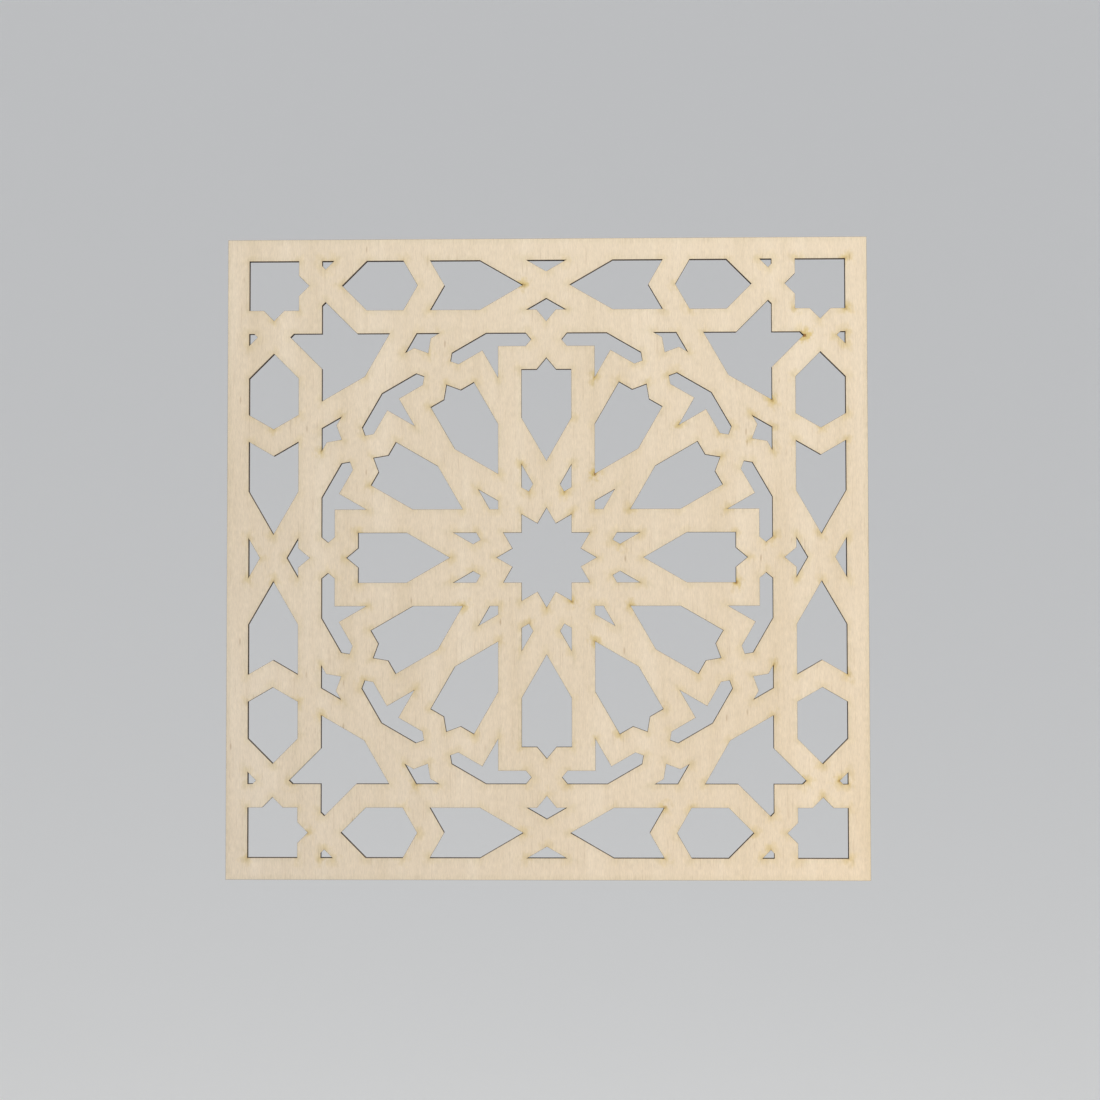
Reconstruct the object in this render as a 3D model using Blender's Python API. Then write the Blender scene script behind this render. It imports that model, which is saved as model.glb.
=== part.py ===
"""A square plywood panel, cut through by laser into a fretwork of flat straps.

A rosette with twelve points fills a ring of twelve sides, and an eight-pointed star stands in each corner of
the border row around it. All straps have one width, bend with sharp mitres, cross in one plane and run into
the four rails at the edge.

The panel stands upright in the XZ plane with its face towards -Y. The origin is on its back face, at the
middle of the bottom rail. Inside the functions the pattern is flat, with its centre at (0, 0).
"""

from math import cos, sin, sqrt, tan, tau

import bpy
from mathutils import Matrix, Vector
from mathutils.geometry import delaunay_2d_cdt

# Driving dimensions, in metres.
SIDE = 0.300
THICKNESS = 0.003
RAIL_WIDTH = 0.01015
STRAP_WIDTH = 0.011

# Parts of a turn: the rosette repeats every twelfth and the panel every quarter, and its stars are eightfold.
TWELFTH = tau / 12
EIGHTH = tau / 8
QUARTER = tau / 4

# Distances from the panel's centre, all worked out from the driving dimensions.
EDGE = SIDE / 2
RAIL_INSIDE = EDGE - RAIL_WIDTH
RAIL_MIDDLE = EDGE - RAIL_WIDTH / 2
HALF_STRAP = STRAP_WIDTH / 2
# The corner stars stand on the border row. The ring's twelve sides, drawn on, meet that row on the panel's
# axes, so a ring side is nearer the centre by one step. The next step outwards, to a line half a strap
# inside the rail, sets the size of it all.
STAR_ROW = (RAIL_INSIDE + HALF_STRAP) / (2 - cos(TWELFTH))
RING = STAR_ROW * cos(TWELFTH)
STEP = STAR_ROW - RING
RING_INSIDE = RING - STEP
# Half the length over which a strap crosses from the ring's inner line to its outer one.
CROSSOVER = STEP * tan(EIGHTH / 2)
# Where a ring side bends towards a corner star, and how far that star's notches lie off the border row.
BEND = RING - sqrt(2) * STEP
NOTCH = STEP * (sqrt(2) - 1)
# Where a ring side two twelfths from the panel's axis, drawn on, meets the border row and turns back.
CHEVRON = (RING - STAR_ROW * cos(2 * TWELFTH)) / sin(2 * TWELFTH)

# Points nearer than this are one, and a corner that turns less than this is straight. Corners are rounded to
# the micron, so that those meant to stand level with each other really do.
SAME_POINT = 1e-6
LEAST_TURN = 1e-3
MICRON_PLACES = 6

BIRCH_COLOUR = (0.78, 0.66, 0.48, 1.0)
BIRCH_ROUGHNESS = 0.7


def clear_scene():
    """Removes every object that the file holds."""
    for thing in list(bpy.data.objects):
        bpy.data.objects.remove(thing, do_unlink=True)


def turned(points, angle):
    """The points turned anticlockwise about the pattern's centre."""
    turn = Matrix.Rotation(angle, 2)
    return [turn @ point for point in points]


def mirrored(points):
    """The points mirrored about the pattern's upright axis."""
    return [Vector((-point.x, point.y)) for point in points]


def onto_rail(start, angle):
    """Where a strap that leaves `start` at this angle to the rail reaches the middle of the top rail."""
    return Vector((start.x + (RAIL_MIDDLE - start.y) / tan(angle), RAIL_MIDDLE))


def rosette_run(axis):
    """A strap's middle line from its bend by the central star to the outside of the ring.

    It crosses the ring on the given axis, counted in twelfths anticlockwise from the upright one.
    """
    run = [
        Vector((-STEP, STEP)),
        Vector((-STEP, RING_INSIDE)),
        Vector((-CROSSOVER, RING_INSIDE)),
        Vector((CROSSOVER, RING)),
    ]
    return turned(run, axis * TWELFTH)


def half_straps():
    """The middle lines of the four half straps that end on one half of the top rail."""
    corner_notch = Vector((RING, STAR_ROW + NOTCH))
    to_corner = rosette_run(0) + [Vector((BEND, RING)), corner_notch, onto_rail(corner_notch, QUARTER)]

    row_middle = Vector((0, STAR_ROW))
    to_middle = rosette_run(1) + [onto_rail(row_middle, TWELFTH)]

    turning_point = Vector((-CHEVRON, STAR_ROW))
    to_row = rosette_run(2) + [turning_point, onto_rail(turning_point, 4 * TWELFTH)]

    inner_notch = Vector((RING, STAR_ROW - NOTCH))
    around_star = [Vector((RING, RING)), inner_notch, onto_rail(inner_notch, 3 * EIGHTH)]
    return [to_corner, to_middle, to_row, around_star]


def strap_pieces(line):
    """Cuts a half strap into one four-sided piece for each straight, mitred where they meet.

    The first piece is cut towards the pattern's centre, where the other half meets it, and the last along the
    rail. A cut's ends lie half a strap from the middle line, measured square to it.
    """
    normals = [(after - before).orthogonal().normalized() for before, after in zip(line, line[1:])]
    mitres = [(one + other).normalized() for one, other in zip(normals, normals[1:])]
    cuts = [line[0].normalized(), *mitres, Vector((1, 0))]
    pieces = []
    for index, normal in enumerate(normals):
        start, end = line[index], line[index + 1]
        start_cut = cuts[index] * (HALF_STRAP / cuts[index].dot(normal))
        end_cut = cuts[index + 1] * (HALF_STRAP / cuts[index + 1].dot(normal))
        pieces.append([start + start_cut, end + end_cut, end - end_cut, start - start_cut])
    return pieces


def one_eighth():
    """All pieces that end on one half of the top rail, and that half's whole rail."""
    rail = [
        Vector((-EDGE, EDGE)),
        Vector((EDGE, EDGE)),
        Vector((RAIL_INSIDE, RAIL_INSIDE)),
        Vector((-RAIL_INSIDE, RAIL_INSIDE)),
    ]
    return [rail] + [piece for line in half_straps() for piece in strap_pieces(line)]


def anticlockwise(polygon):
    """The polygon with its corners in anticlockwise order."""
    doubled_area = sum(polygon[i - 1].cross(polygon[i]) for i in range(len(polygon)))
    return polygon if doubled_area > 0 else polygon[::-1]


def whole_pattern():
    """The pieces of all eight parts: one, its mirror image, and both turned by quarters."""
    pieces = one_eighth()
    pieces += [mirrored(piece) for piece in pieces]
    quarters = range(4)
    return [anticlockwise(turned(piece, quarter * QUARTER)) for quarter in quarters for piece in pieces]


def to_the_micron(point):
    """The point with both its distances rounded."""
    return Vector((round(point.x, MICRON_PLACES), round(point.y, MICRON_PLACES)))


def real_corners(outline):
    """The outline's corners, without points that repeat the one before them or lie along a straight edge."""
    pairs = zip(outline[-1:] + outline, outline)
    apart = [point for before, point in pairs if (point - before).length > SAME_POINT]
    corners = []
    for index, point in enumerate(apart):
        arriving = (point - apart[index - 1]).normalized()
        leaving = (apart[(index + 1) % len(apart)] - point).normalized()
        if abs(arriving.cross(leaving)) > LEAST_TURN:
            corners.append(to_the_micron(point))
    return corners


def covers(piece, point):
    """Whether the point lies in the piece, or no more than a hair outside it."""
    sides = zip(piece, piece[1:] + piece[:1])
    return all((end - start).normalized().cross(point - start) > -SAME_POINT for start, end in sides)


def covered_triangles(pieces):
    """Triangulates all the pieces as one figure, and returns its points and the triangles on a piece."""
    points = [point for piece in pieces for point in piece]
    firsts = range(0, len(points), len(pieces[0]))
    sides = [
        (first + corner, first + (corner + 1) % len(piece))
        for first, piece in zip(firsts, pieces)
        for corner in range(len(piece))
    ]
    points, _, triangles, *_ = delaunay_2d_cdt(points, sides, [], 0, SAME_POINT, False)
    covered = []
    for triangle in triangles:
        middle = sum((points[corner] for corner in triangle), Vector((0, 0))) / len(triangle)
        if any(covers(piece, middle) for piece in pieces):
            covered.append(triangle)
    return points, covered


def cut_outlines(pieces):
    """The closed outlines of the area that the pieces cover together: the sheet's edge and each opening.

    A side that only one covered triangle has is part of an outline.
    """
    points, triangles = covered_triangles(pieces)
    sides = {(triangle[i - 1], triangle[i]) for triangle in triangles for i in range(len(triangle))}
    following = {start: end for start, end in sides if (end, start) not in sides}
    outlines = []
    while following:
        outline = []
        point = min(following)
        while point in following:
            outline.append(points[point])
            point = following.pop(point)
        outlines.append(real_corners(outline))
    return outlines


def birch_plywood():
    """Pale birch plywood, sanded and unfinished."""
    material = bpy.data.materials.new("birch_plywood")
    material.use_nodes = True
    shader = material.node_tree.nodes["Principled BSDF"]
    shader.inputs["Base Color"].default_value = BIRCH_COLOUR
    shader.inputs["Roughness"].default_value = BIRCH_ROUGHNESS
    shader.inputs["Metallic"].default_value = 0.0
    return material


def add_fretwork_panel(collection):
    """The sheet, filled between its edge and its openings and stood up on the middle of its bottom rail."""
    sheet = bpy.data.curves.new("fretwork_panel", "CURVE")
    sheet.dimensions = "2D"
    sheet.fill_mode = "BOTH"
    sheet.extrude = THICKNESS / 2
    for outline in cut_outlines(whole_pattern()):
        spline = sheet.splines.new("POLY")
        spline.points.add(len(outline) - 1)
        for corner, place in zip(spline.points, outline):
            corner.co = (place.x, place.y, 0, 1)
        spline.use_cyclic_u = True
    sheet.materials.append(birch_plywood())

    panel = bpy.data.objects.new("fretwork_panel", sheet)
    panel.rotation_euler.x = QUARTER
    panel.location = (0, -THICKNESS / 2, RAIL_MIDDLE)
    collection.objects.link(panel)


def main():
    """Builds the panel in a collection of its own."""
    clear_scene()
    collection = bpy.data.collections.new("decorative_panel")
    bpy.context.scene.collection.children.link(collection)
    add_fretwork_panel(collection)


main()
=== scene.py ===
"""The finished look of a square plywood panel, laser-cut into a fretwork of flat straps.

One visual piece stands for the one CAD node. It is a closed sheet whose surface is a single profile (face,
rim, cut wall, rim, back) carried round each opening and round the panel's edge. Its veneer, its scorch marks
and its charred cuts are procedural.

All distances are in metres. The panel stands in the XZ plane with its face towards -Y and its back on y = 0.
"""

import logging
from dataclasses import dataclass, field
from enum import Enum, IntEnum

import bpy
import numpy as np
from mathutils import Euler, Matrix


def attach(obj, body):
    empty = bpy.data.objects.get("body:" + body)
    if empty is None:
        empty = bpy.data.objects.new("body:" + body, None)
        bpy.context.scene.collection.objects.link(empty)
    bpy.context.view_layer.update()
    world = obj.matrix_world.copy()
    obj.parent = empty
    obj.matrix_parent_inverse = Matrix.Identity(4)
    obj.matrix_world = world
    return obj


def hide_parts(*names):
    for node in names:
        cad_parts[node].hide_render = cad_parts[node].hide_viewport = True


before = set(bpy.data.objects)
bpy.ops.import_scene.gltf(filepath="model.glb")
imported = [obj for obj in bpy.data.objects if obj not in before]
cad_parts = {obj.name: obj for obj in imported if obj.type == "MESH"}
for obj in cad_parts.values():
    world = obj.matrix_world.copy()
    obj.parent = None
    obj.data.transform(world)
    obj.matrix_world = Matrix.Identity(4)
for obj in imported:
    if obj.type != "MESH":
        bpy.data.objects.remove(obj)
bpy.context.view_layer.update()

MM = 0.001
ROOT2 = 2**0.5
ROOT3 = 3**0.5
# In degrees. The rosette repeats every twelfth of a turn and the whole panel every quarter.
TWELFTH = 30
HALF_TWELFTH = 15
QUARTER = 90
# Points nearer than this are one. Those that two grids share agree to this many decimal places.
SAME_POINT = 1e-9
MERGE_PLACES = 7
# Noise can run from 0 to 1, but most of it lies between these two.
HOLLOW = 0.3
CREST = 0.7
LOG = logging.getLogger("decorative_panel")

Points = np.ndarray
Span = tuple[float, float]
Triple = tuple[float, float, float]
Colour = tuple[float, float, float, float]


class Finish(IntEnum):
    """The panel's two finishes, in the order of its material slots."""

    VENEER = 0
    CHAR = 1


class Blend(Enum):
    """The ways in which one colour is laid over another."""

    COVER = "MIX"
    DARKEN = "MULTIPLY"


def turned(points: Points, degrees: float) -> Points:
    """The points turned clockwise about the pattern's centre."""
    angle = np.radians(degrees)
    turn = np.array([[np.cos(angle), -np.sin(angle)], [np.sin(angle), np.cos(angle)]])
    return np.asarray(points, float) @ turn


def closed_by(half: list[tuple[float, float]], axis: float) -> Points:
    """Completes half an outline with its mirror image.

    Args:
        half: the corners of one half, in order.
        axis: the direction of the mirror line through the pattern's centre, in degrees clockwise from up.

    Returns:
        The corners of both halves, with those that lie on the line once.
    """
    first = np.array(half, float)
    double = np.radians(2 * axis)
    mirror = np.array([[-np.cos(double), np.sin(double)], [np.sin(double), np.cos(double)]])
    second = first @ mirror
    on_line = np.hypot(*(first - second).T) < SAME_POINT
    return np.vstack([first, second[~on_line][::-1]])


def anticlockwise(polygon: Points) -> Points:
    """The polygon's corners in anticlockwise order, by the sign of its area."""
    after = np.roll(polygon, -1, axis=0)
    doubled_area = np.sum(polygon[:, 0] * after[:, 1] - after[:, 0] * polygon[:, 1])
    return polygon if doubled_area > 0 else polygon[::-1]


def shrunk(polygon: Points, distance: float) -> Points:
    """Moves every side of an anticlockwise polygon inwards.

    A corner moves along the sum of its two inward normals, divided by one plus their dot product, which is
    where the two moved sides meet.

    Args:
        polygon: the corners, shape (n, 2).
        distance: how far each side moves.

    Returns:
        The moved corners, one for each corner given.
    """
    along = np.roll(polygon, -1, axis=0) - polygon
    along /= np.hypot(*along.T)[:, None]
    inward = np.column_stack([-along[:, 1], along[:, 0]])
    before = np.roll(inward, 1, axis=0)
    return polygon + distance * (inward + before) / (1 + np.sum(inward * before, axis=1))[:, None]


@dataclass(frozen=True)
class Strapwork:
    """The flat pattern: the straps' middle lines bound one cell round each opening.

    Attributes:
        side: the panel's side.
        rail_width: the plain border's width.
        strap_width: the width of every strap.
    """

    side: float = 0.300
    rail_width: float = 0.01015
    strap_width: float = 0.011

    @property
    def half_strap(self) -> float:
        """Half the width of a strap."""
        return self.strap_width / 2

    @property
    def border(self) -> float:
        """Half the side of the square on which the outermost cells end, half a strap inside the rail."""
        return self.side / 2 - self.rail_width + self.half_strap

    @property
    def star_row(self) -> float:
        """The distance from the centre to the line on which the border stars stand."""
        return self.border / (2 - ROOT3 / 2)

    @property
    def step(self) -> float:
        """The distance between neighbouring parallel middle lines."""
        return self.star_row * (1 - ROOT3 / 2)

    @property
    def ring(self) -> float:
        """The distance from the centre to the ring's outer lines."""
        return self.star_row - self.step

    @property
    def inner(self) -> float:
        """The distance from the centre to the ring's inner lines."""
        return self.ring - self.step

    @property
    def heel(self) -> float:
        """How far out on its axis a petal reaches its full width."""
        return (2 + ROOT3) * self.step

    @property
    def crossing(self) -> float:
        """Half the length over which a strap crosses from an inner line to an outer one."""
        return (ROOT2 - 1) * self.step

    @property
    def middle(self) -> float:
        """The distance from the centre to where two such straps cross each other."""
        return self.inner + self.step / 2

    @property
    def middle_height(self) -> float:
        """The height of the pattern's centre over the origin, which is at the middle of the bottom rail."""
        return self.side / 2 - self.rail_width / 2

    def central_cells(self) -> list[Points]:
        """The star in the middle and the twelve kites and twelve petals round it."""
        p = self.step
        notch = turned([(0, ROOT2 * p)], HALF_TWELFTH)[0]
        kite_tip = turned([(0, p / np.sin(np.radians(HALF_TWELFTH)))], HALF_TWELFTH)[0]
        star = np.vstack([turned([(0, 2 * p), notch], TWELFTH * k) for k in range(12)])
        kite = closed_by([notch, (0, 2 * p), kite_tip], HALF_TWELFTH)
        head = [(self.crossing, self.inner), (0, self.middle)]
        petal = closed_by([(0, 2 * p), (p, self.heel), (p, self.inner), *head], 0)
        return [star] + [turned(cell, TWELFTH * k) for cell in (kite, petal) for k in range(12)]

    def ring_cells(self) -> list[Points]:
        """The twelve forked cells between the petals and the twelve darts outside the petals."""
        p = self.step
        shared = [(0, self.middle), (self.crossing, self.ring), (ROOT3 * p, self.ring)]
        fork = [(p, self.heel), (p, self.inner), (self.crossing, self.inner), *shared]
        dart = [*shared, (0, self.star_row)]
        halves = ((fork, HALF_TWELFTH), (dart, 0))
        return [turned(closed_by(half, axis), TWELFTH * k) for half, axis in halves for k in range(12)]

    def border_cells(self) -> list[Points]:
        """The cells between the ring and the rails, four or eight of each shape."""
        p = self.step
        row = self.star_row
        ring = self.ring
        edge = self.border
        shoulder = self.heel + p
        bend = ring - ROOT2 * p
        tip = row - ROOT2 * p
        notch = (ROOT2 - 1) * p
        third = row / 2
        chevron = (ring - third) / (ROOT3 / 2)
        foot = ROOT3 * p
        star_side = [(tip, row), (ring, row - notch), (ring, ring)]
        bird = [(shoulder, shoulder), (third, ring), (bend, ring), *star_side]
        corner = [*star_side[::-1], (ring, row + notch), (ring, edge), (edge, edge)]
        hourglass = [(0, row), (foot, edge)]
        single = [closed_by(bird, QUARTER / 2), closed_by(corner, QUARTER / 2), closed_by(hourglass, 0)]
        arrow = [(0, row), (foot, ring), (third, ring), (chevron, row), (third, edge), (foot, edge)]
        hexagon = [(chevron, row), (third, ring), (bend, ring), (tip, row), (bend, edge), (third, edge)]
        chip = [(tip, row), (bend, edge), (ring, edge), (ring, row + notch)]
        paired = [np.array(cell) * (side, 1) for cell in (arrow, hexagon, chip) for side in (1, -1)]
        return [turned(cell, QUARTER * k) for cell in single + paired for k in range(4)]

    def cells(self) -> list[Points]:
        """All 85 cells, each anticlockwise; neighbours share whole sides."""
        found = self.central_cells() + self.ring_cells() + self.border_cells()
        return [anticlockwise(cell) for cell in found]

    def border_line(self) -> Points:
        """The square round all cells, with a corner wherever one of their sides ends on it, anticlockwise."""
        p = self.step
        stops = np.array([ROOT3 * p, self.star_row / 2, self.ring - ROOT2 * p, self.ring, self.border])
        along = np.concatenate([-stops[:-1][::-1], stops])
        top = np.column_stack([along[::-1], np.full(len(along), self.border)])
        return np.vstack([turned(top, -QUARTER * k) for k in range(4)])


@dataclass(frozen=True)
class Divisions:
    """How the sides of a cell are divided into the columns of the mesh.

    Attributes:
        length: the side's length that each column stands for, on the average.
        fewest: the columns of the shortest side.
        nudge: added before rounding, so that sides equal but for their last digits get equal columns.
    """

    length: float = 2.7 * MM
    fewest: int = 4
    nudge: float = 1e-6

    def columns(self, polygon: Points) -> np.ndarray:
        """The number of columns for each side of the polygon, from its length alone."""
        sides = np.hypot(*(np.roll(polygon, -1, axis=0) - polygon).T)
        return np.maximum(self.fewest, np.round(sides / self.length + self.nudge).astype(int))

    @staticmethod
    def places(columns: np.ndarray) -> tuple[np.ndarray, np.ndarray]:
        """Where the columns stand: (1 - cos(pi s)) / 2 of the way along a side for even steps s.

        Corners get the closest columns, and the same places come out from either end, so that cells which
        share a side share its points.

        Args:
            columns: the number of columns for each side.

        Returns:
            The side that each column starts on, and its share of the way along that side.
        """
        side = np.repeat(np.arange(len(columns)), columns)
        first = np.repeat(np.cumsum(columns) - columns, columns)
        even = (np.arange(len(side)) - first) / columns[side]
        return side, (1 - np.cos(np.pi * even)) / 2

    @staticmethod
    def along(polygon: Points, side: np.ndarray, share: np.ndarray) -> Points:
        """The points at those shares of the polygon's sides: start + share * (end - start)."""
        ends = np.roll(polygon, -1, axis=0)
        return polygon[side] + share[:, None] * (ends[side] - polygon[side])


@dataclass(frozen=True)
class CutProfile:
    """The sheet's section from a strap's middle line over the cut and back: rows of offset, depth and finish.

    Attributes:
        thickness: the sheet's thickness.
        rim: the width and depth of the softened arris where a face meets the cut.
        face_rows: distances of the front's rows from the cut.
        back_rows: distances of the back's rows from the cut.
        wall_rows: depths of the wall's rows, as shares of the thickness between the two rims.
        undercut: how far the wall steps back into the wood between the glue lines, for each wall row.
        crowded: rows further from the cut than this share of the strip's width are left out.
    """

    thickness: float = 3.0 * MM
    rim: float = 0.09 * MM
    face_rows: tuple[float, ...] = (3.4 * MM, 2.0 * MM, 1.1 * MM, 0.5 * MM)
    back_rows: tuple[float, ...] = (0.5 * MM, 1.4 * MM)
    wall_rows: tuple[float, ...] = (0.0, 0.16, 0.31, 0.35, 0.5, 0.65, 0.69, 0.84, 1.0)
    undercut: tuple[float, ...] = (0.0, 0.02 * MM, 0.03 * MM, 0.0, 0.05 * MM, 0.0, 0.03 * MM, 0.02 * MM, 0.0)
    crowded: float = 0.9

    def rows(self, reach: float) -> tuple[np.ndarray, np.ndarray, np.ndarray]:
        """The section for a strip of sheet of this width beside the cut.

        Args:
            reach: the distance from the cut to the strip's far line.

        Returns:
            For each row its distance from the cut and its depth from the front, and for each band
            between two rows its finish.
        """
        limit = self.crowded * reach
        front = [reach, *[row for row in self.face_rows if row < limit], self.rim]
        back = [self.rim, *[row for row in self.back_rows if row < limit], reach]
        wall = np.array(self.undercut)
        wall_depths = self.rim + np.array(self.wall_rows) * (self.thickness - 2 * self.rim)
        offsets = np.concatenate([front, wall, back])
        depths = np.concatenate([np.zeros(len(front)), wall_depths, np.full(len(back), self.thickness)])
        bands = np.full(len(offsets) - 1, int(Finish.VENEER))
        bands[len(front) - 1 : len(front) + len(wall)] = int(Finish.CHAR)
        return offsets, depths, bands


@dataclass(frozen=True)
class Scorch:
    """How strongly the beam, slowing down, browned the wood round each sharp corner of an opening.

    Attributes:
        full_angle: the corner, in degrees, at which the strength is 1.
        clean_angle: the corner, in degrees, from which on an opening's corners are left clean.
        fall: the power of the angle's share by which the strength falls between the two.
        drift: how much stronger the marks get from the panel's middle to its lower right corner.
        spread: the spread of the marks' strengths, as the deviation of their logarithm.
        seed: fixes which corners are the strong ones.
    """

    full_angle: float = 30.0
    clean_angle: float = 155.0
    fall: float = 0.5
    drift: float = 0.35
    spread: float = 0.55
    seed: int = 17

    def strengths(self, polygon: Points, random: np.random.Generator, half_side: float) -> np.ndarray:
        """The strength at each corner of an anticlockwise opening.

        It falls from the full angle to the clean one, slowly at first. It drifts across the panel and
        varies from corner to corner.

        Args:
            polygon: the opening's corners.
            random: the seeded source of the variation.
            half_side: half the panel's side, where the drift is full.

        Returns:
            One strength for each corner, 0 at wide and hollow ones.
        """
        arriving = polygon - np.roll(polygon, 1, axis=0)
        leaving = np.roll(polygon, -1, axis=0) - polygon
        crossing = arriving[:, 0] * leaving[:, 1] - arriving[:, 1] * leaving[:, 0]
        angle = 180 - np.degrees(np.arctan2(crossing, np.sum(arriving * leaving, axis=1)))
        share = np.clip((self.clean_angle - angle) / (self.clean_angle - self.full_angle), 0, 1)
        place = (polygon[:, 0] - polygon[:, 1]) / (2 * half_side)
        varied = np.exp(self.spread * random.standard_normal(len(polygon)))
        return share**self.fall * (1 + self.drift * place) * varied


@dataclass
class Surface:
    """Grids gathered into one mesh: points and quads, with the values that the finishes read.

    Attributes:
        points: the points of each grid.
        quads: the corners of each grid's faces, counted over all grids.
        finishes: the finish of each face.
        maps: the UV of each face's four corners.
        values: each named value at each point.
    """

    points: list[np.ndarray] = field(default_factory=list)
    quads: list[np.ndarray] = field(default_factory=list)
    finishes: list[np.ndarray] = field(default_factory=list)
    maps: list[np.ndarray] = field(default_factory=list)
    values: dict[str, list[np.ndarray]] = field(default_factory=dict)

    def add_grid(self, points: np.ndarray, bands: np.ndarray, uv: np.ndarray, **values: np.ndarray) -> None:
        """Adds a grid that closes on itself along its first direction.

        Args:
            points: shape (columns, rows, 3).
            bands: the finish between each row and the next, shape (rows - 1,).
            uv: shape (columns + 1, rows, 2); the last column is the first again, a full length on.
            values: named values, each of shape (columns, rows).
        """
        columns, rows = points.shape[:2]
        first = sum(len(grid) for grid in self.points)
        number = first + np.arange(columns * rows).reshape(columns, rows)
        after = np.roll(number, -1, axis=0)
        quads = np.stack([number[:, :-1], number[:, 1:], after[:, 1:], after[:, :-1]], axis=-1)
        corners = np.stack([uv[:-1, :-1], uv[:-1, 1:], uv[1:, 1:], uv[1:, :-1]], axis=2)
        self.points.append(points.reshape(-1, 3))
        self.quads.append(quads.reshape(-1, 4))
        self.finishes.append(np.tile(bands, columns))
        self.maps.append(corners.reshape(-1, 4, 2))
        for name, value in values.items():
            self.values.setdefault(name, []).append(value.ravel())

    def to_mesh(self, name: str) -> bpy.types.Mesh:
        """Makes one closed mesh, where points that round to the same tenth of a micron are one."""
        points = np.concatenate(self.points)
        rounded = np.round(points, MERGE_PLACES)
        _, kept, merged = np.unique(rounded, axis=0, return_index=True, return_inverse=True)
        quads = merged.reshape(-1)[np.concatenate(self.quads)]
        mesh = bpy.data.meshes.new(name)
        mesh.vertices.add(len(kept))
        mesh.vertices.foreach_set("co", points[kept].ravel())
        mesh.loops.add(quads.size)
        mesh.loops.foreach_set("vertex_index", quads.ravel())
        mesh.polygons.add(len(quads))
        mesh.polygons.foreach_set("loop_start", np.arange(0, quads.size, 4))
        mesh.polygons.foreach_set("material_index", np.concatenate(self.finishes))
        mesh.update(calc_edges=True)
        mesh.uv_layers.new(name="cut").uv.foreach_set("vector", np.concatenate(self.maps).ravel())
        for label, grids in self.values.items():
            attribute = mesh.attributes.new(label, "FLOAT", "POINT")
            attribute.data.foreach_set("value", np.concatenate(grids)[kept].astype(np.float32))
        mesh.validate()
        mesh.shade_flat()
        return mesh


@dataclass(frozen=True)
class FretworkSheet:
    """The cut sheet: the profile carried along every opening's outline and along the panel's own edge.

    Attributes:
        pattern: the flat pattern.
        profile: the section beside a cut.
        divisions: the columns along a side.
        scorch: the marks round the corners.
    """

    pattern: Strapwork = Strapwork()
    profile: CutProfile = CutProfile()
    divisions: Divisions = Divisions()
    scorch: Scorch = Scorch()

    def add_cut(self, surface: Surface, cut: Points, far: Points, reach: float, tips: np.ndarray) -> None:
        """Carries the profile along one cut.

        A row at distance d from the cut stands d / reach of the way from the cut's outline to the far one. As
        the two outlines have parallel sides, that row is parallel to them too.

        Args:
            surface: takes the grid.
            cut: the cut's corners, with the sheet on their right.
            far: the far outline's corners, one for each of the cut's.
            reach: the distance between the outlines.
            tips: how strongly each corner of the cut is scorched.
        """
        side, share = self.divisions.places(self.divisions.columns(far))
        near_points = self.divisions.along(cut, side, share)
        far_points = self.divisions.along(far, side, share)
        offsets, depths, bands = self.profile.rows(reach)
        flat = near_points[:, None] + (offsets / reach)[None, :, None] * (far_points - near_points)[:, None]
        depth = np.broadcast_to(depths - self.profile.thickness, flat.shape[:2])
        points = np.stack([flat[..., 0], depth, flat[..., 1] + self.pattern.middle_height], axis=-1)

        following = np.roll(np.arange(len(cut)), -1)
        to_start = np.linalg.norm(flat - cut[side][:, None], axis=-1)
        to_end = np.linalg.norm(flat - cut[following[side]][:, None], axis=-1)
        strength = tips[side] + share * (tips[following[side]] - tips[side])

        gone = np.hypot(*(np.roll(near_points, -1, axis=0) - near_points).T)
        length = np.concatenate([[0], np.cumsum(gone)])
        section = np.hypot(np.diff(offsets, prepend=offsets[0]), np.diff(depths, prepend=depths[0]))
        uv = np.stack(np.broadcast_arrays(length[:, None], np.cumsum(section)[None]), axis=-1)
        surface.add_grid(
            points,
            bands,
            uv,
            cut_distance=np.broadcast_to(offsets, to_start.shape),
            tip_distance=np.minimum(to_start, to_end),
            tip_scorch=np.broadcast_to(strength[:, None], to_start.shape),
        )

    def surface(self) -> Surface:
        """The whole sheet: every opening with the strap halves round it, and the rails' outer part."""
        made = Surface()
        random = np.random.default_rng(self.scorch.seed)
        half_side = self.pattern.side / 2
        for cell in self.pattern.cells():
            opening = shrunk(cell, self.pattern.half_strap)
            tips = self.scorch.strengths(opening, random, half_side)
            self.add_cut(made, opening, cell, self.pattern.half_strap, tips)
        # Seen from the outer edge the sheet lies on the other side, so this outline runs clockwise.
        line = self.pattern.border_line()[::-1]
        outer = line * (half_side / self.pattern.border)
        self.add_cut(made, outer, line, half_side - self.pattern.border, np.zeros(len(line)))
        return made

    def build(self) -> bpy.types.Object:
        """Makes the sheet's object, dressed in its two finishes."""
        mesh = self.surface().to_mesh("fretwork_sheet")
        mesh.materials.append(BirchVeneer().material())
        mesh.materials.append(CharredCut(thickness=self.profile.thickness).material())
        piece = bpy.data.objects.new("fretwork_sheet", mesh)
        bpy.context.scene.collection.objects.link(piece)
        return piece


Socket = bpy.types.NodeSocket


@dataclass(frozen=True)
class Figure:
    """One run of noise over a surface, such as the streaks of a veneer.

    Attributes:
        scale: how often it repeats in a metre, along each axis.
        levels: what its hollows and its crests multiply a value by.
        detail: how many finer noises are added to it.
        roughness: how much each finer noise counts against the one before.
        distortion: how far it is bent out of its grid.
    """

    scale: Triple
    levels: Span = (1.0, 1.0)
    detail: float = 2.0
    roughness: float = 0.5
    distortion: float = 0.0


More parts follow.
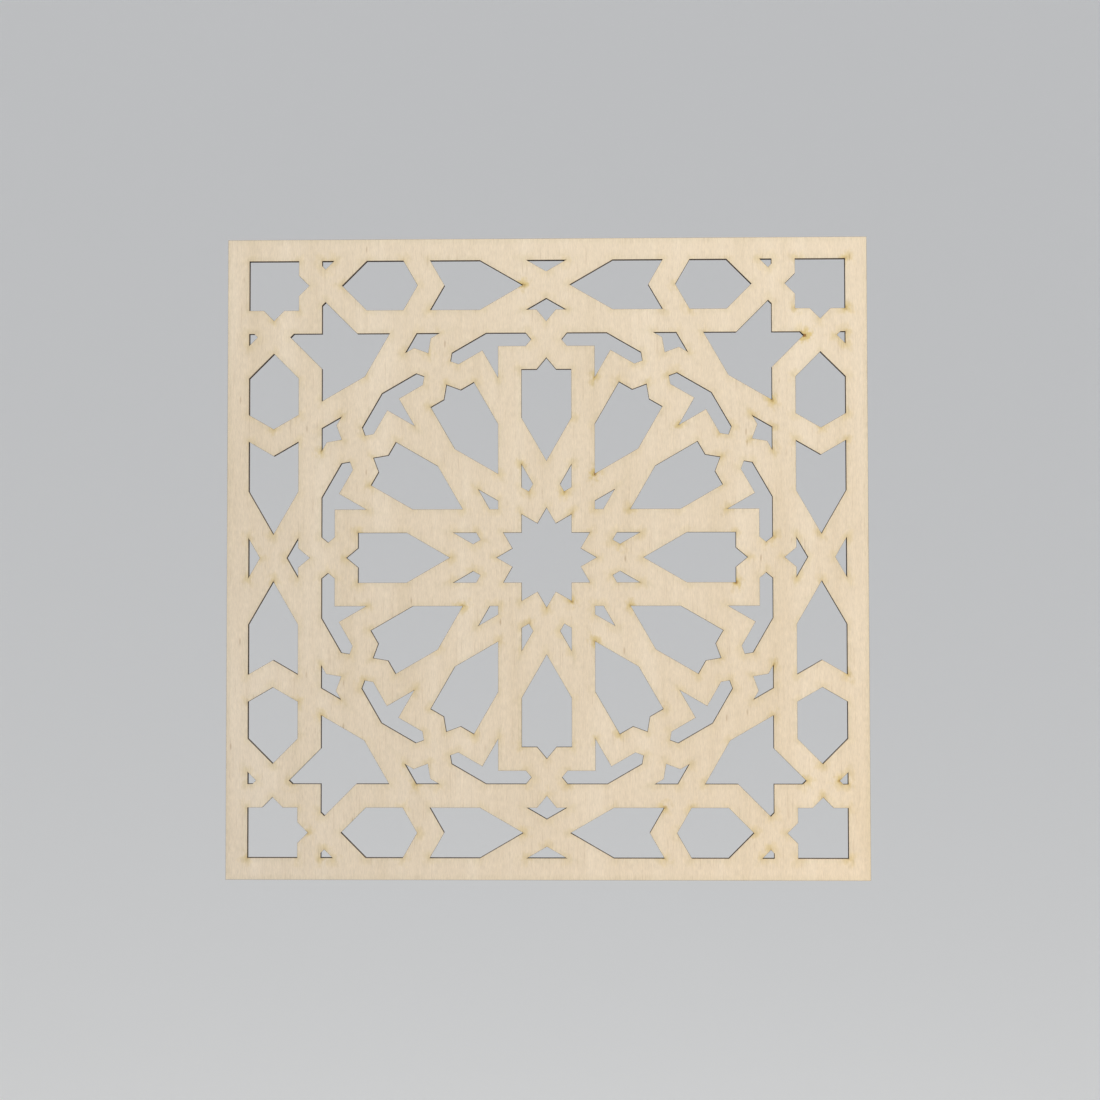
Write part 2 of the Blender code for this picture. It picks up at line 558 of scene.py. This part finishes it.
class Recipe:
    """One material's nodes, with short calls for the kinds that the finishes use."""

    # The numbers of a mix node's sockets for colours, which have the same names as those for plain values.
    MIX_SHARE = 0
    MIX_UNDER = 6
    MIX_OVER = 7
    MIX_RESULT = 2
    def __init__(self, name: str) -> None:
        """Starts a material with a Principled shader."""
        self.material = bpy.data.materials.new(name)
        self.material.use_nodes = True
        self.tree = self.material.node_tree
        self.shader = self.tree.nodes["Principled BSDF"]

    def give(self, node: bpy.types.Node, **inputs: object) -> None:
        """Links each named input to a socket, or sets it to a value; an underscore stands for a space."""
        for label, value in inputs.items():
            socket = node.inputs[label.replace("_", " ")]
            if isinstance(value, Socket):
                self.tree.links.new(value, socket)
            else:
                socket.default_value = value

    def value(self, name: str) -> Socket:
        """One of the mesh's own values."""
        node = self.tree.nodes.new("ShaderNodeAttribute")
        node.attribute_name = name
        return node.outputs["Fac"]

    def place(self, scale: Triple, from_uv: bool = False) -> Socket:
        """The point on the object, or on its UV map, times a scale for each axis."""
        source = self.tree.nodes.new("ShaderNodeTexCoord").outputs["UV" if from_uv else "Object"]
        node = self.tree.nodes.new("ShaderNodeMapping")
        self.give(node, Vector=source, Scale=scale)
        return node.outputs["Vector"]

    def noise(self, figure: Figure, from_uv: bool = False) -> Socket:
        """The figure's noise from 0 to 1, mostly near its middle."""
        node = self.tree.nodes.new("ShaderNodeTexNoise")
        self.give(
            node,
            Vector=self.place(figure.scale, from_uv),
            Scale=1.0,
            Detail=figure.detail,
            Roughness=figure.roughness,
            Distortion=figure.distortion,
        )
        return node.outputs["Fac"]

    def sums(self, operation: str, *terms: Socket | float) -> Socket:
        """One sum, such as MULTIPLY or ADD, on up to three terms."""
        node = self.tree.nodes.new("ShaderNodeMath")
        node.operation = operation
        for socket, term in zip(node.inputs, terms):
            if isinstance(term, Socket):
                self.tree.links.new(term, socket)
            else:
                socket.default_value = term
        return node.outputs["Value"]

    def product(self, value: Socket | float, *factors: Socket | float) -> Socket:
        """The value times all the factors."""
        for factor in factors:
            value = self.sums("MULTIPLY", value, factor)
        return value

    def fade(
        self,
        value: Socket,
        start: Socket | float,
        end: float,
        low: float = 0.0,
        high: float = 1.0,
    ) -> Socket:
        """Goes smoothly from low to high as the value goes from start to end."""
        node = self.tree.nodes.new("ShaderNodeMapRange")
        node.interpolation_type = "SMOOTHSTEP"
        self.give(node, Value=value, From_Min=start, From_Max=end, To_Min=low, To_Max=high)
        return node.outputs["Result"]

    def scaled(self, colour: Socket, level: Socket) -> Socket:
        """The colour times a level."""
        node = self.tree.nodes.new("ShaderNodeVectorMath")
        node.operation = "SCALE"
        self.give(node, Vector=colour, Scale=level)
        return node.outputs["Vector"]

    def laid(
        self,
        under: Socket | Colour,
        over: Socket | Colour,
        share: Socket,
        blend: Blend = Blend.COVER,
    ) -> Socket:
        """One colour over another, by the share given."""
        node = self.tree.nodes.new("ShaderNodeMix")
        node.data_type = "RGBA"
        node.blend_type = blend.value
        for number, term in ((self.MIX_SHARE, share), (self.MIX_UNDER, under), (self.MIX_OVER, over)):
            if isinstance(term, Socket):
                self.tree.links.new(term, node.inputs[number])
            else:
                node.inputs[number].default_value = term
        return node.outputs[self.MIX_RESULT]

    def relief(self, height: Socket, distance: float, strength: float) -> None:
        """Gives the shader a bump from this height, where 1 stands for the distance."""
        node = self.tree.nodes.new("ShaderNodeBump")
        self.give(node, Height=height, Distance=distance, Strength=strength)
        self.give(self.shader, Normal=node.outputs["Normal"])


@dataclass(frozen=True)
class BirchVeneer:
    """Rotary-cut birch, sanded and unfinished, with its grain upright, browned by the laser at sharp corners.

    Attributes:
        wood: the veneer's own colour.
        pale: the colour of its lighter bands.
        tan: the colour of its darker bands.
        fleck: the colour of its short dark marks and its pores.
        burnt: what the full burn at a corner's very tip multiplies the colour by.
        stained: the same for the wider stain round it.
        hazed: the same for the faint haze along every cut.
        burn_reach: the distance at which a burn has faded to nothing, on the average.
        stain_reach: the same for the stain.
        haze_reach: the same for the haze.
        burn_share: how much of the burn shows at the tip of a mark of strength 1.
        stain_share: the same for the stain.
        haze_share: how much of the haze shows at a cut.
        reach_noise: the noise at which a reach is least, and that at which it is greatest.
        reach_range: the least and the greatest reach, as shares of the average one.
        coarse: the unevenness of the stain and the haze.
        fine: the unevenness of the burn.
        bands: soft upright bands, some 15 mm wide.
        pale_bands: the noise at which a band starts to turn pale, and that at which it is.
        tan_bands: the same for tan.
        streaks: upright streaks of about 1.5 mm.
        fibres: fine upright fibres.
        mottle: a rounder noise over them.
        fleck_cells: the grid of the flecks, whose marks are upright ovals some 2 mm long.
        fleck_rim: how far from a cell's point a fleck starts, and where it is full, in cells.
        fleck_lots: the lot with which a cell's fleck starts to show, and that with which it is full.
        fleck_share: how much of its colour a full fleck shows.
        pores: a long thin noise, whose rarest crests are the pores.
        pore_crests: the noise at which a pore starts, and that at which it is full.
        pore_share: how much of its colour a full pore shows.
        rough: the veneer's roughness.
        relief_depth: the height of the grain.
        relief_strength: how strongly that height is shaded.
    """

    wood: Colour = (0.700, 0.588, 0.452, 1.0)
    pale: Colour = (0.725, 0.617, 0.485, 1.0)
    tan: Colour = (0.672, 0.560, 0.420, 1.0)
    fleck: Colour = (0.36, 0.24, 0.13, 1.0)
    burnt: Colour = (0.42, 0.26, 0.10, 1.0)
    stained: Colour = (0.87, 0.79, 0.45, 1.0)
    hazed: Colour = (0.62, 0.66, 0.48, 1.0)
    burn_reach: float = 1.5 * MM
    stain_reach: float = 4.8 * MM
    haze_reach: float = 3.2 * MM
    burn_share: float = 0.13
    stain_share: float = 0.48
    haze_share: float = 0.14
    reach_noise: Span = (0.25, 0.75)
    reach_range: Span = (0.45, 1.55)
    coarse: Figure = Figure((420.0, 420.0, 330.0), detail=3.0, roughness=0.6)
    fine: Figure = Figure((1100.0, 1100.0, 800.0))
    bands: Figure = Figure((70.0, 0.0, 7.0), detail=3.0)
    pale_bands: Span = (0.48, 0.68)
    tan_bands: Span = (0.48, 0.30)
    streaks: Figure = Figure((620.0, 0.0, 48.0), (0.975, 1.022), detail=3.0, roughness=0.6, distortion=0.4)
    fibres: Figure = Figure((2300.0, 0.0, 380.0), (0.935, 1.05), roughness=0.6)
    mottle: Figure = Figure((420.0, 0.0, 260.0), (0.972, 1.024), detail=3.0, roughness=0.6)
    fleck_cells: Triple = (190.0, 0.0, 45.0)
    fleck_rim: Span = (0.11, 0.03)
    fleck_lots: Span = (0.3, 0.8)
    fleck_share: float = 0.5
    pores: Figure = Figure((1300.0, 0.0, 55.0), roughness=0.6)
    pore_crests: Span = (0.58, 0.72)
    pore_share: float = 0.24
    rough: float = 0.68
    relief_depth: float = 0.03 * MM
    relief_strength: float = 0.4

    def grain(self, recipe: Recipe) -> tuple[Socket, Socket]:
        """The wood's colour before scorching, and the height of its grain.

        The bands mix the three wood colours, and the levels of the streaks, the fibres and the mottle
        multiply the mixture. The height is the sum of the streaks and the fibres.
        """
        bands = recipe.noise(self.bands)
        colour = recipe.laid(self.wood, self.pale, recipe.fade(bands, *self.pale_bands))
        colour = recipe.laid(colour, self.tan, recipe.fade(bands, *self.tan_bands))
        figures = (self.streaks, self.fibres, self.mottle)
        noises = [recipe.noise(figure) for figure in figures]
        levels = [recipe.fade(noise, HOLLOW, CREST, *figure.levels) for noise, figure in zip(noises, figures)]
        height = recipe.sums("ADD", *noises[:2])
        return recipe.scaled(colour, recipe.product(*levels)), height

    def flecks(self, recipe: Recipe) -> Socket:
        """How much of the dark marks' colour shows: short flecks, and the pores.

        A fleck stands where a cell's point lies near the sheet's own plane.
        """
        node = recipe.tree.nodes.new("ShaderNodeTexVoronoi")
        recipe.give(node, Vector=recipe.place(self.fleck_cells), Scale=1.0, Randomness=1.0)
        split = recipe.tree.nodes.new("ShaderNodeSeparateColor")
        recipe.give(split, Color=node.outputs["Color"])
        near = recipe.fade(node.outputs["Distance"], *self.fleck_rim)
        drawn = recipe.fade(split.outputs["Red"], *self.fleck_lots, 0.0, self.fleck_share)
        pores = recipe.fade(recipe.noise(self.pores), *self.pore_crests, 0.0, self.pore_share)
        return recipe.sums("ADD", recipe.product(near, drawn), pores)

    def faded(self, recipe: Recipe, distance: Socket, reach: float, unevenness: Socket) -> Socket:
        """What is left at a distance: 1 on the spot, falling smoothly to 0 at a reach that is uneven."""
        least, greatest = self.reach_range
        local = recipe.fade(unevenness, *self.reach_noise, least * reach, greatest * reach)
        return recipe.fade(distance, local, 0.0)

    def scorched(self, recipe: Recipe, colour: Socket) -> Socket:
        """Lays haze, stain and burn over the colour; the burn grows with the square of the strength."""
        tip = recipe.value("tip_distance")
        strength = recipe.value("tip_scorch")
        coarse = recipe.noise(self.coarse)
        haze = self.faded(recipe, recipe.value("cut_distance"), self.haze_reach, coarse)
        stain = self.faded(recipe, tip, self.stain_reach, coarse)
        burn = self.faded(recipe, tip, self.burn_reach, recipe.noise(self.fine))
        layers = (
            (self.hazed, recipe.product(haze, self.haze_share)),
            (self.stained, recipe.product(stain, recipe.product(strength, self.stain_share))),
            (self.burnt, recipe.product(burn, recipe.product(strength, strength, self.burn_share))),
        )
        for tint, share in layers:
            colour = recipe.laid(colour, tint, recipe.sums("MINIMUM", share, 1.0), Blend.DARKEN)
        return colour

    def material(self) -> bpy.types.Material:
        """Makes the veneer's material."""
        recipe = Recipe("birch_plywood_veneer")
        colour, height = self.grain(recipe)
        colour = recipe.laid(colour, self.fleck, self.flecks(recipe))
        recipe.give(recipe.shader, Base_Color=self.scorched(recipe, colour), Roughness=self.rough)
        recipe.relief(height, self.relief_depth, self.relief_strength)
        return recipe.material


@dataclass(frozen=True)
class CharredCut:
    """The wall that the laser left: charred brown, with the core ply darkest and fine upright striations.

    Attributes:
        thickness: the sheet's thickness, which its three plies share.
        char: the colour of the char.
        toast: the colour where the char is thin.
        striations: fine lines across the thickness; their map is the cut's length and its section.
        thin_char: the striations' noise at which the char starts to thin, and that at which it is thinnest.
        patches: slow changes along the cut, whose levels multiply how thin the char is.
        core: how far from the sheet's middle the core ply ends and the outer ones begin, by the thickness.
        core_level: the same level for the core ply, against 1 for the outer ones.
        rough: the char's roughness.
        relief_depth: the height of the striations.
        relief_strength: how strongly that height is shaded.
    """

    thickness: float = 3.0 * MM
    char: Colour = (0.028, 0.017, 0.011, 1.0)
    toast: Colour = (0.15, 0.082, 0.040, 1.0)
    striations: Figure = Figure((2600.0, 160.0, 0.0))
    thin_char: Span = (0.35, 0.75)
    patches: Figure = Figure((90.0, 160.0, 0.0), (0.35, 1.0), detail=3.0)
    core: Span = (0.15, 0.19)
    core_level: float = 0.25
    rough: float = 0.85
    relief_depth: float = 0.04 * MM
    relief_strength: float = 0.6

    def material(self) -> bpy.types.Material:
        """Makes the cut's material: striations run across the thickness, and the plies lie along it."""
        recipe = Recipe("laser_cut_char")
        striations = recipe.noise(self.striations, from_uv=True)
        patches = recipe.noise(self.patches, from_uv=True)
        split = recipe.tree.nodes.new("ShaderNodeSeparateXYZ")
        recipe.give(split, Vector=recipe.place((1.0, 1.0, 1.0)))
        from_middle = recipe.sums("ABSOLUTE", recipe.sums("ADD", split.outputs["Y"], self.thickness / 2))
        core_end, outer_start = (share * self.thickness for share in self.core)
        toasted = recipe.product(
            recipe.fade(striations, *self.thin_char),
            recipe.fade(from_middle, core_end, outer_start, self.core_level, 1.0),
            recipe.fade(patches, HOLLOW, CREST, *self.patches.levels),
        )
        colour = recipe.laid(self.char, self.toast, toasted)
        recipe.give(recipe.shader, Base_Color=colour, Roughness=self.rough)
        recipe.relief(striations, self.relief_depth, self.relief_strength)
        return recipe.material


@dataclass(frozen=True)
class SoftLight:
    """One square soft light.

    Attributes:
        name: its name in the scene.
        place: where it hangs.
        size: its side.
        power: its power in watts.
        colour: its colour.
    """

    name: str
    place: Triple
    size: float
    power: float
    colour: Triple

    def build(self, aim: Triple) -> None:
        """Adds the light, turned towards the aim."""
        light = bpy.data.lights.new(self.name, "AREA")
        light.size = self.size
        light.energy = self.power
        light.color = self.colour
        lamp = bpy.data.objects.new(self.name, light)
        lamp.location = self.place
        way = np.subtract(aim, self.place)
        from_straight_down = np.arctan2(np.hypot(way[0], way[1]), -way[2])
        lamp.rotation_euler = (from_straight_down, 0.0, np.arctan2(-way[0], way[1]))
        bpy.context.scene.collection.objects.link(lamp)


@dataclass(frozen=True)
class Studio:
    """A pale floor that rises all round into a shallow bowl, under even air and three soft lights.

    Attributes:
        floor_height: the floor's height, a short way below the panel.
        flat_radius: how far from the origin the floor stays level.
        radius: the bowl's radius.
        rise: how far the bowl's rim stands above the floor.
        rings: the mesh's rings.
        spokes: the mesh's columns round the bowl.
        paper: the bowl's colour.
        paper_rough: the bowl's roughness.
        air: the colour of the air.
        air_strength: how bright the air is.
        aim: what the lights are turned towards.
        lights: a key from above, and two low ones in front of the lower corners.
    """

    floor_height: float = -0.45
    flat_radius: float = 1.0
    radius: float = 7.0
    rise: float = 4.2
    rings: int = 48
    spokes: int = 128
    paper: Colour = (0.86, 0.86, 0.865, 1.0)
    paper_rough: float = 0.9
    air: Colour = (0.97, 0.985, 1.0, 1.0)
    air_strength: float = 0.62
    aim: Triple = (0.0, 0.0, 0.15)
    lights: tuple[SoftLight, ...] = (
        SoftLight("key_light", (0.27, -0.42, 1.10), 0.45, 10.1, (1.0, 0.99, 0.92)),
        SoftLight("low_right_light", (0.36, -0.28, -0.20), 0.4, 1.1, (1.0, 0.84, 0.59)),
        SoftLight("low_left_light", (-0.30, -0.28, -0.20), 0.4, 0.26, (0.4, 0.6, 1.0)),
    )

    def bowl_mesh(self) -> bpy.types.Mesh:
        """Makes the floor's mesh: a section carried round Z.

        Beyond the flat radius it stands rise * t**2 over the floor, where t goes from 0 to 1 at the rim.
        """
        radius = np.linspace(0, self.radius, self.rings + 1)[1:, None]
        climb = np.clip((radius - self.flat_radius) / (self.radius - self.flat_radius), 0, 1)
        height = self.floor_height + self.rise * climb**2
        angle = np.linspace(0, 2 * np.pi, self.spokes, endpoint=False)[None]
        grid = np.stack(np.broadcast_arrays(radius * np.cos(angle), radius * np.sin(angle), height), axis=-1)
        number = 1 + np.arange(self.rings * self.spokes).reshape(self.rings, self.spokes)
        after = np.roll(number, -1, axis=1)
        quads = np.stack([number[:-1], number[1:], after[1:], after[:-1]], axis=-1).reshape(-1, 4)
        middle = np.column_stack([np.zeros(self.spokes, int), number[0], after[0]])
        points = np.vstack([[[0, 0, self.floor_height]], grid.reshape(-1, 3)])
        mesh = bpy.data.meshes.new("studio_bowl")
        mesh.from_pydata(points.tolist(), [], middle.tolist() + quads.tolist())
        mesh.shade_smooth()
        return mesh

    def add_bowl(self) -> bpy.types.Object:
        """Adds the floor in its paper."""
        mesh = self.bowl_mesh()
        recipe = Recipe("studio_paper")
        recipe.give(recipe.shader, Base_Color=self.paper, Roughness=self.paper_rough)
        mesh.materials.append(recipe.material)
        bowl = bpy.data.objects.new("studio_bowl", mesh)
        bpy.context.scene.collection.objects.link(bowl)
        return bowl

    def add_air(self) -> None:
        """Fills the scene with even light from all sides."""
        world = bpy.data.worlds.new("studio_air")
        world.use_nodes = True
        air = world.node_tree.nodes["Background"]
        air.inputs["Color"].default_value = self.air
        air.inputs["Strength"].default_value = self.air_strength
        bpy.context.scene.world = world

    def build(self) -> None:
        """Sets up the floor, the lights and the air."""
        self.add_bowl()
        for light in self.lights:
            light.build(self.aim)
        self.add_air()


@dataclass(frozen=True)
class Viewpoint:
    """The camera, nearly straight in front, a little below and to the right of the panel's middle.

    Its directions are fitted to the photograph's outlines. They don't decide its distance, which is chosen.

    Attributes:
        place: where it stands.
        tilt: how far it looks up, in degrees.
        pan: how far it is turned to its left, in degrees.
        roll: how far it leans to its left, in degrees.
        focal_length: in pixels of the photograph.
        picture: the photograph's side in pixels.
        sensor: the sensor's width in millimetres.
        near: nothing nearer than this is seen.
        far: nothing further than this is seen.
    """

    place: Triple = (0.02042, -0.84349, 0.12078)
    tilt: float = 1.882
    pan: float = 1.282
    roll: float = -0.080
    focal_length: float = 1800.0
    picture: float = 1100.0
    sensor: float = 36.0
    near: float = 0.01
    far: float = 60.0

    def build(self) -> None:
        """Makes the camera and gives it to the scene."""
        lens = bpy.data.cameras.new("photo_view")
        lens.sensor_width = self.sensor
        lens.lens = self.focal_length * self.sensor / self.picture
        lens.clip_start = self.near
        lens.clip_end = self.far
        camera = bpy.data.objects.new("photo_view", lens)
        camera.location = self.place
        turn = Euler((np.radians(90 + self.tilt), 0.0, np.radians(self.pan)), "XYZ").to_matrix()
        roll = Euler((0.0, 0.0, np.radians(self.roll)), "XYZ").to_matrix()
        camera.rotation_euler = (turn @ roll).to_euler()
        bpy.context.scene.collection.objects.link(camera)
        bpy.context.scene.camera = camera


def main() -> None:
    """Builds the panel, the studio and the camera, and reports each."""
    logging.basicConfig(level=logging.INFO, format="%(name)s: %(message)s")
    bpy.context.scene.view_settings.view_transform = "Standard"
    sheet = FretworkSheet().build()
    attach(sheet, "root")
    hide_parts("fretwork_panel")
    LOG.info("%s: %d points, %d faces", sheet.name, len(sheet.data.vertices), len(sheet.data.polygons))
    Studio().build()
    LOG.info("studio: bowl and lights")
    Viewpoint().build()
    LOG.info("camera: %s", bpy.context.scene.camera.name)


if __name__ == "__main__":
    main()
